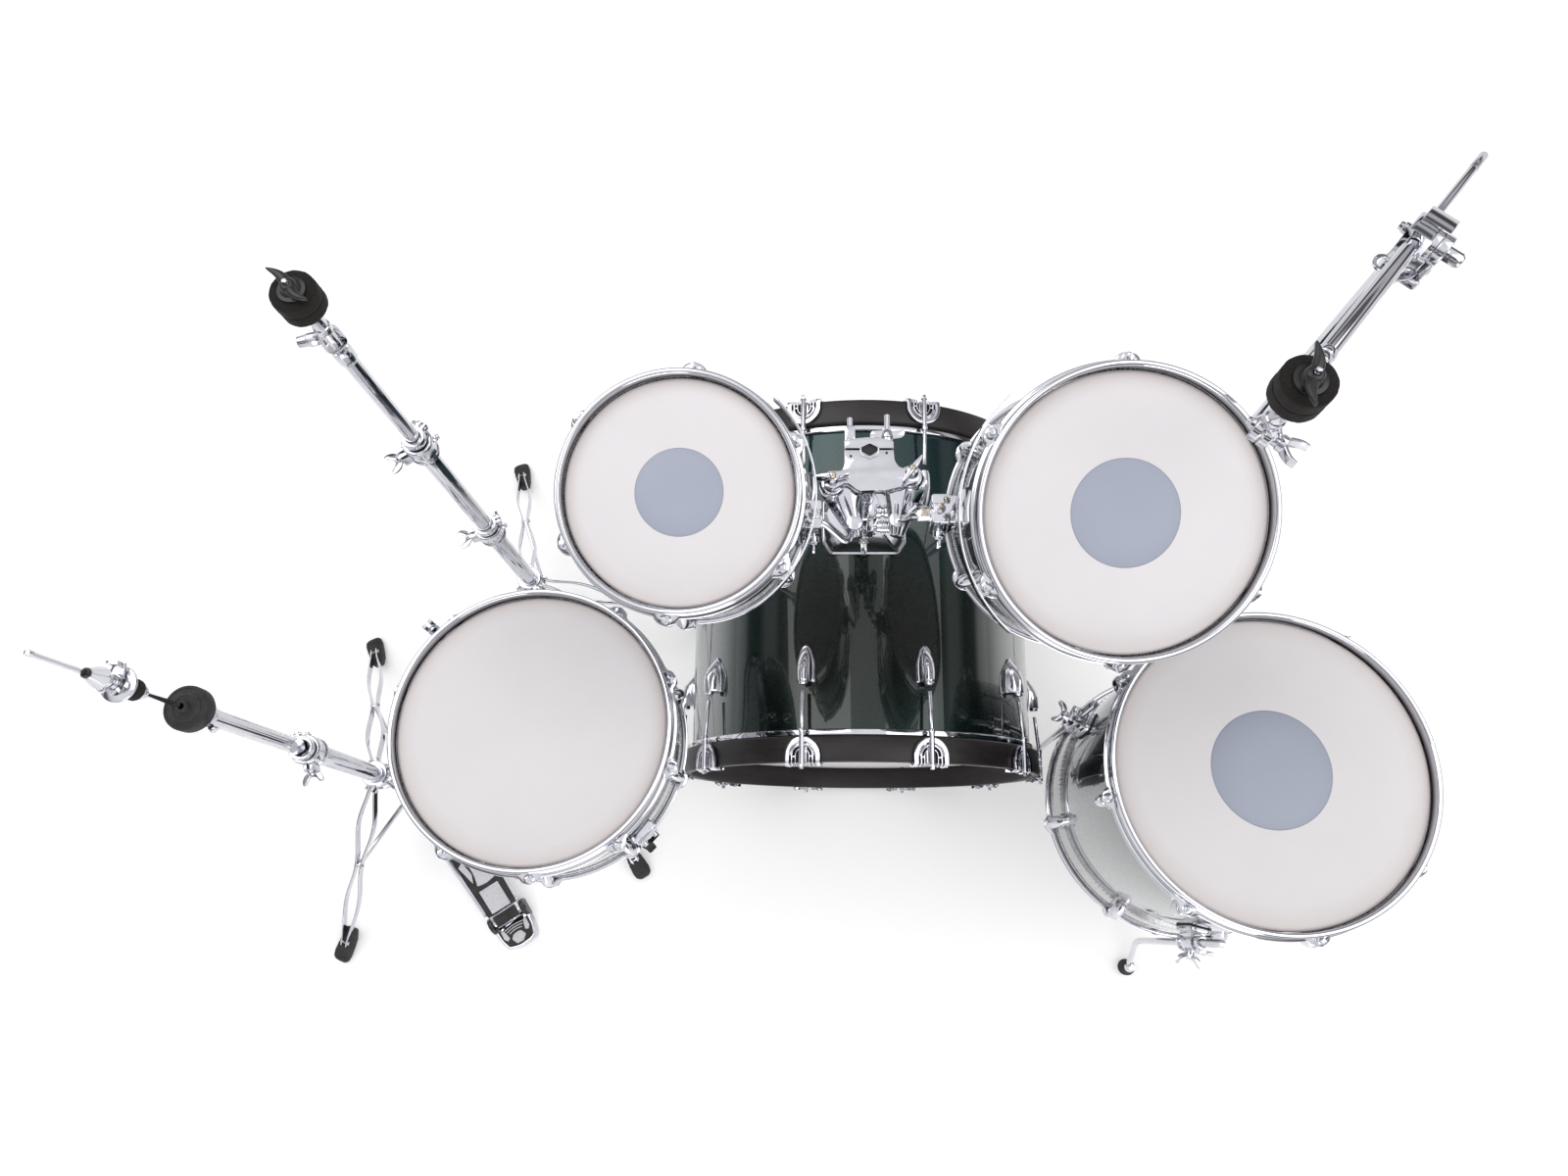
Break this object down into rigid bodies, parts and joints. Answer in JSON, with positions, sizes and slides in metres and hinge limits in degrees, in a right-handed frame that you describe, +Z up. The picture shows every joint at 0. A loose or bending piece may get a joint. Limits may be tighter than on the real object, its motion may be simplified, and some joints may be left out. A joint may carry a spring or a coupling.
{
  "type": "drum kit",
  "caption": "Drum kit: bass drum with two mounted toms, floor tom, snare on its stand, hi-hat stand with pedal, a straight and a boom cymbal stand; no cymbals.",
  "frame": {"origin": "on the floor, at the centre of the kit's footprint", "axes": "+X to the player's right along the row of drums, +Y away from the player, +Z up"},
  "size_m": [1.8108, 1.0983, 1.316],
  "materials": {
    "green_lacquer": "very dark green metallic flake under clear gloss lacquer",
    "chrome": "polished chrome plate",
    "coated_film": "white coated film, slightly rough",
    "dot_film": "blue-grey centre dot, satin",
    "black_wood": "black satin lacquer",
    "black_rubber": "moulded, matt",
    "black_plastic": "moulded, semi-gloss",
    "black_felt": "pressed felt",
    "spring_steel": "coiled wire",
    "brass_screw": "bright"
  },
  "bodies": {
    "kit": {"bass_shell": "green_lacquer", "bass_batter_hoop": "black_wood", "bass_front_hoop": "black_wood", "bass_batter_head": "coated_film", "bass_front_head": "coated_film", "tom_mount_base": "chrome", "floor_tom_shell": "green_lacquer", "floor_tom_top_hoop": "chrome", "floor_tom_bottom_hoop": "chrome", "floor_tom_batter_head": "coated_film", "floor_tom_bottom_head": "coated_film", "hihat_base": "chrome", "hihat_heel_plate": "black_rubber", "left_stand_base": "chrome", "right_stand_base": "chrome", "snare_stand_base": "chrome"},
    "spur_left": {"bass_spur_left": "chrome"},
    "spur_right": {"bass_spur_right": "chrome"},
    "tom_holder": {"tom_mount_post": "chrome", "tom_mount_bridge": "chrome"},
    "tom1_holder_arm": {"tom1_arm": "chrome"},
    "tom1": {"tom1_shell": "green_lacquer", "tom1_top_hoop": "chrome", "tom1_bottom_hoop": "chrome", "tom1_batter_head": "coated_film", "tom1_bottom_head": "coated_film"},
    "tom2_holder_arm": {"tom2_arm": "chrome"},
    "tom2": {"tom2_shell": "green_lacquer", "tom2_top_hoop": "chrome", "tom2_bottom_hoop": "chrome", "tom2_batter_head": "coated_film", "tom2_bottom_head": "coated_film"},
    "floor_leg_1": {"floor_tom_leg_1": "chrome"},
    "floor_leg_2": {"floor_tom_leg_2": "chrome"},
    "floor_leg_3": {"floor_tom_leg_3": "chrome"},
    "snare_column": {"snare_stand_tube": "chrome"},
    "snare": {"snare_basket": "chrome", "snare_shell": "green_lacquer", "snare_top_hoop": "chrome", "snare_bottom_hoop": "chrome", "snare_batter_head": "coated_film", "snare_bottom_head": "coated_film"},
    "throw_off": {"snare_throw_off_lever": "chrome"},
    "snare_strands": {"snare_wires": "spring_steel"},
    "hihat_column": {"hihat_tube": "chrome", "hihat_seat": "black_felt"},
    "pull_rod": {"hihat_pull_rod": "chrome"},
    "clutch": {"hihat_clutch": "chrome"},
    "footboard": {"hihat_footboard": "chrome"},
    "left_middle": {"left_stand_middle": "chrome"},
    "left_top": {"left_stand_top_tube": "chrome"},
    "left_tilt": {"left_tilter": "chrome", "left_felts": "black_felt"},
    "left_nut": {"left_wing_nut": "black_plastic"},
    "right_column": {"right_stand_tube": "chrome"},
    "boom_block": {"boom_clamp": "chrome"},
    "boom": {"boom_arm": "chrome"},
    "right_tilt": {"right_tilter": "chrome", "right_felts": "black_felt"},
    "right_nut": {"right_wing_nut": "black_plastic"}
  },
  "joints": [
    {"name": "spur_left_fold", "type": "hinge", "parent": "kit", "child": "spur_left", "pos_m": [-0.21267, 0.16037, 0.20705], "axis": [-0.9397, 0.0202, -0.3414], "range_deg": [-75, 0]},
    {"name": "spur_right_fold", "type": "hinge", "parent": "kit", "child": "spur_right", "pos_m": [0.38027, 0.16037, 0.20705], "axis": [0.9397, 0.0202, -0.3414], "range_deg": [0, 75]},
    {"name": "tom_holder_height", "type": "slide", "parent": "kit", "child": "tom_holder", "axis": [0, 0, 1], "range_m": [-0.03, 0.06]},
    {"name": "tom1_arm_swivel", "type": "hinge", "parent": "tom_holder", "child": "tom1_holder_arm", "pos_m": [0.0326, 0.0592, 0.8515], "axis": [0, 0, 1], "range_deg": [-8, 8]},
    {"name": "tom1_tilt", "type": "hinge", "parent": "tom1_holder_arm", "child": "tom1", "pos_m": [0.0041, 0.0042, 0.866], "axis": [1, 0, 0], "range_deg": [-14, 14]},
    {"name": "tom2_arm_swivel", "type": "hinge", "parent": "tom_holder", "child": "tom2_holder_arm", "pos_m": [0.1314, 0.0682, 0.8515], "axis": [0, 0, 1], "range_deg": [-8, 8]},
    {"name": "tom2_tilt", "type": "hinge", "parent": "tom2_holder_arm", "child": "tom2", "pos_m": [0.1641, 0.0002, 0.895], "axis": [1, 0, 0], "range_deg": [-18, 12]},
    {"name": "floor_leg_1_height", "type": "slide", "parent": "kit", "child": "floor_leg_1", "axis": [0, 0, 1], "range_m": [-0.08, 0.1]},
    {"name": "floor_leg_2_height", "type": "slide", "parent": "kit", "child": "floor_leg_2", "axis": [0, 0, 1], "range_m": [-0.08, 0.1]},
    {"name": "floor_leg_3_height", "type": "slide", "parent": "kit", "child": "floor_leg_3", "axis": [0, 0, 1], "range_m": [-0.08, 0.1]},
    {"name": "snare_height", "type": "slide", "parent": "kit", "child": "snare_column", "axis": [0, 0, 1], "range_m": [-0.05, 0.03]},
    {"name": "snare_tilt", "type": "hinge", "parent": "snare_column", "child": "snare", "pos_m": [-0.41231, -0.1984, 0.468], "axis": [0.5042, 0.8636, 0], "range_deg": [-8, 8]},
    {"name": "throw_off_turn", "type": "hinge", "parent": "snare", "child": "throw_off", "pos_m": [-0.51424, -0.08965, 0.6355], "axis": [-0.6691, -0.7431, 0], "range_deg": [0, 70]},
    {"name": "wires_drop", "type": "slide", "parent": "snare", "child": "snare_strands", "axis": [0, 0, 1], "range_m": [-0.0025, 0]},
    {"name": "hihat_height", "type": "slide", "parent": "kit", "child": "hihat_column", "axis": [0, 0, 1], "range_m": [-0.1, 0.05]},
    {"name": "footboard_press", "type": "hinge", "parent": "kit", "child": "footboard", "pos_m": [-0.5609, -0.4603, 0.03], "axis": [-0.8387, -0.5446, 0], "range_deg": [0, 9.5], "stiffness_Nm_per_rad": 8, "springref_deg": -20.05},
    {"name": "pull_rod_travel", "type": "slide", "parent": "kit", "child": "pull_rod", "axis": [0, 0, 1], "range_m": [-0.045, 0]},
    {"name": "clutch_height", "type": "slide", "parent": "pull_rod", "child": "clutch", "axis": [0, 0, 1], "range_m": [-0.015, 0.06]},
    {"name": "left_middle_height", "type": "slide", "parent": "kit", "child": "left_middle", "axis": [0, 0, 1], "range_m": [-0.12, 0.1]},
    {"name": "left_top_height", "type": "slide", "parent": "left_middle", "child": "left_top", "axis": [0, 0, 1], "range_m": [-0.2, 0.2]},
    {"name": "left_tilter_turn", "type": "hinge", "parent": "left_top", "child": "left_tilt", "pos_m": [-0.5174, 0.1339, 1.08], "axis": [0.6606, -0.7507, 0], "range_deg": [-60, 60]},
    {"name": "left_nut_turn", "type": "hinge", "parent": "left_tilt", "child": "left_nut", "pos_m": [-0.5174, 0.1339, 1.169], "axis": [0, 0, 1], "continuous": true},
    {"name": "right_column_height", "type": "slide", "parent": "kit", "child": "right_column", "axis": [0, 0, 1], "range_m": [-0.04, 0.15]},
    {"name": "boom_tilt", "type": "hinge", "parent": "right_column", "child": "boom_block", "pos_m": [0.6401, 0.2192, 1.127], "axis": [0.7626, -0.6469, 0], "range_deg": [-40, 4]},
    {"name": "boom_reach", "type": "slide", "parent": "boom_block", "child": "boom", "axis": [-0.6322, -0.7453, 0.2117], "range_m": [0, 0.12]},
    {"name": "right_tilter_turn", "type": "hinge", "parent": "boom", "child": "right_tilt", "pos_m": [0.4221, -0.0378, 1.2], "axis": [0.7626, -0.6469, 0], "range_deg": [-35, 35]},
    {"name": "right_nut_turn", "type": "hinge", "parent": "right_tilt", "child": "right_nut", "pos_m": [0.4221, -0.0378, 1.293], "axis": [0, 0, 1], "continuous": true}
  ],
  "couplings": [
    {"joint": "pull_rod_travel", "follows": "footboard_press", "m_per_rad": -0.2557},
    {"joint": "wires_drop", "follows": "throw_off_turn", "m_per_rad": -0.002}
  ]
}
